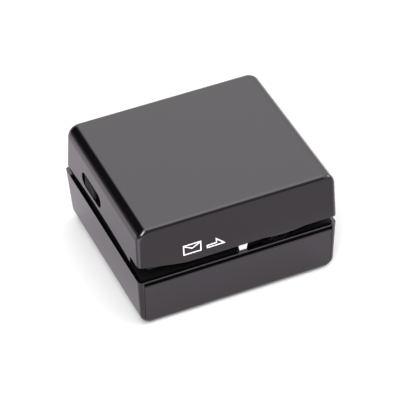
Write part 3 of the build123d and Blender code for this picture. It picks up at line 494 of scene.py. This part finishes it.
def makeFloor():
    form = bmesh.new()
    bmesh.ops.create_grid(form, x_segments=1, y_segments=1, size=floorLook["size"] / 2)
    mesh = bpy.data.meshes.new("floor")
    form.to_mesh(mesh)
    form.free()
    floor = linked("floor", mesh)
    material, tree, shader = startMaterial("floorPaper", sheen=0.0)
    axes = splitAxes(tree, ownCoords(tree))
    tone = floorLook["mirrored"]
    # each patch paints light or shade into the floor tone that the object mirrors and is lit by
    for paintedTone, rangeX, rangeY in floorLook["patches"]:
        paintedPatch = mathNode(tree, "MULTIPLY", mapRange(tree, axes["X"], rangeX, eased=True),
                         mapRange(tree, axes["Y"], rangeY, eased=True))
        tone = blended(tree, paintedPatch, tone, paintedTone)
    tree.links.new(blended(tree, cameraRay(tree), tone, floorLook["seen"]), shader.inputs["Base Color"])
    shader.inputs["Roughness"].default_value = floorLook["roughness"]

    # clear from below, so that the underside can be looked at
    clear = tree.nodes.new("ShaderNodeBsdfTransparent")
    either = tree.nodes.new("ShaderNodeMixShader")
    tree.links.new(tree.nodes.new("ShaderNodeNewGeometry").outputs["Backfacing"], either.inputs["Fac"])
    tree.links.new(shader.outputs["BSDF"], either.inputs[1])
    tree.links.new(clear.outputs["BSDF"], either.inputs[2])
    tree.links.new(either.outputs["Shader"], tree.nodes["Material Output"].inputs["Surface"])
    mesh.materials.append(material)


studio = {       # light levels by direction; turns in degrees from +Y towards +X, heights as sines
    "overhead": 4.0, "overheadEdge": (0.80, 0.93),
    "sideLow": 0.9, "sideRise": 2.9, "sideBend": 1.4, "sideFrom": (-16, 2), "sideTo": (147, 152),
    "corner": 0.04, "cornerFrom": (-100, -75), "glow": 0.45, "glowTo": 0.3,
    "front": 0.5, "backdrop": 0.92,
}


# large soft light overhead and to the right, a dark corner behind on the left, a dim room in front
def makeSky():
    world = bpy.data.worlds.new("studio")
    bpy.context.scene.world = world
    world.use_nodes = True
    tree = world.node_tree
    axes = splitAxes(tree, tree.nodes.new("ShaderNodeTexCoord").outputs["Generated"])
    height = axes["Z"]
    turn = mathNode(tree, "ARCTAN2", axes["X"], axes["Y"])

    def past(edge):
        return mapRange(tree, turn, (math.radians(edge[0]), math.radians(edge[1])), eased=True)

    def between(mask, first, second):
        return mapRange(tree, mask, (0.0, 1.0), (first, second))

    notFront = mathNode(tree, "SUBTRACT", 1.0, past(studio["sideTo"]))
    inCorner = mathNode(tree, "MULTIPLY", past(studio["cornerFrom"]), notFront)
    onSide = mathNode(tree, "MULTIPLY", past(studio["sideFrom"]), notFront)
    glow = mapRange(tree, height, (0.0, studio["glowTo"]),
                    (studio["corner"] + studio["glow"], studio["corner"]), eased=True)
    rise = mathNode(tree, "POWER", mathNode(tree, "MAXIMUM", height, 0.0), studio["sideBend"])
    side = mathNode(tree, "ADD", mathNode(tree, "MULTIPLY", rise, studio["sideRise"]), studio["sideLow"])
    level = between(onSide, between(inCorner, studio["front"], glow), side)
    overhead = mapRange(tree, height, studio["overheadEdge"], eased=True)
    level = between(overhead, level, studio["overhead"])
    background = tree.nodes["Background"]
    tree.links.new(between(cameraRay(tree), level, studio["backdrop"]), background.inputs["Strength"])
    background.inputs["Color"].default_value = (1, 1, 1, 1)


# soft boxes that draw the bright lines round the hood's front corners
lamps = {        # degrees, metres, watts
    "keyLight": {"turn": -138, "height": 42, "distance": 1.3, "sides": (0.5, 0.85), "power": 22.0},
    "cornerLight": {"turn": 98, "height": 25, "distance": 1.3, "sides": (0.35, 0.35), "power": 5.0},
}


# unit vector for a turn from +Y towards +X and a height above the floor, in radians
def towards(turn, height):
    return Vector((math.sin(turn) * math.cos(height), math.cos(turn) * math.cos(height), math.sin(height)))


def makeLamp(name, turn, height, distance, sides, power):
    lamp = bpy.data.lights.new(name, "AREA")
    lamp.shape = "RECTANGLE"
    lamp.size, lamp.size_y = sides
    lamp.energy = power
    obj = linked(name, lamp)
    back = towards(math.radians(turn), math.radians(height))
    obj.location = back * distance
    obj.rotation_euler = back.to_track_quat("Z", "Y").to_euler()


photoCamera = {      # fitted to the photograph's outline; degrees, metres, millimetres of lens and sensor
    "azimuth": -23.36, "elevation": 40.68, "distance": 1.49919, "roll": -1.11,
    "lens": 220.57, "sensor": 36.0, "shift": (0.0026, -0.0187), "target": (0.0, 0.0, 0.03677), "reach": 20,
}


def makeCamera():
    azimuth, elevation, roll = (math.radians(photoCamera[k]) for k in ("azimuth", "elevation", "roll"))
    back = towards(math.pi - azimuth, elevation)
    right = (-back).cross(Vector((0, 0, 1))).normalized()
    up = right.cross(-back)
    turnedRight = math.cos(roll) * right + math.sin(roll) * up
    turnedUp = math.cos(roll) * up - math.sin(roll) * right
    data = bpy.data.cameras.new("photoCamera")
    data.sensor_width = photoCamera["sensor"]
    data.lens = photoCamera["lens"]
    data.shift_x, data.shift_y = photoCamera["shift"]
    data.clip_end = photoCamera["reach"]
    camera = linked("photoCamera", data)
    turn = Matrix((turnedRight, turnedUp, back)).transposed().to_4x4()
    place = Vector(photoCamera["target"]) + back * photoCamera["distance"]
    camera.matrix_world = Matrix.Translation(place) @ turn
    bpy.context.scene.camera = camera


makeFloor()
makeSky()
for lampName, setting in lamps.items():
    makeLamp(lampName, **setting)
makeCamera()
bpy.context.scene.view_settings.view_transform = "Standard"
print("floor, light and camera in place")
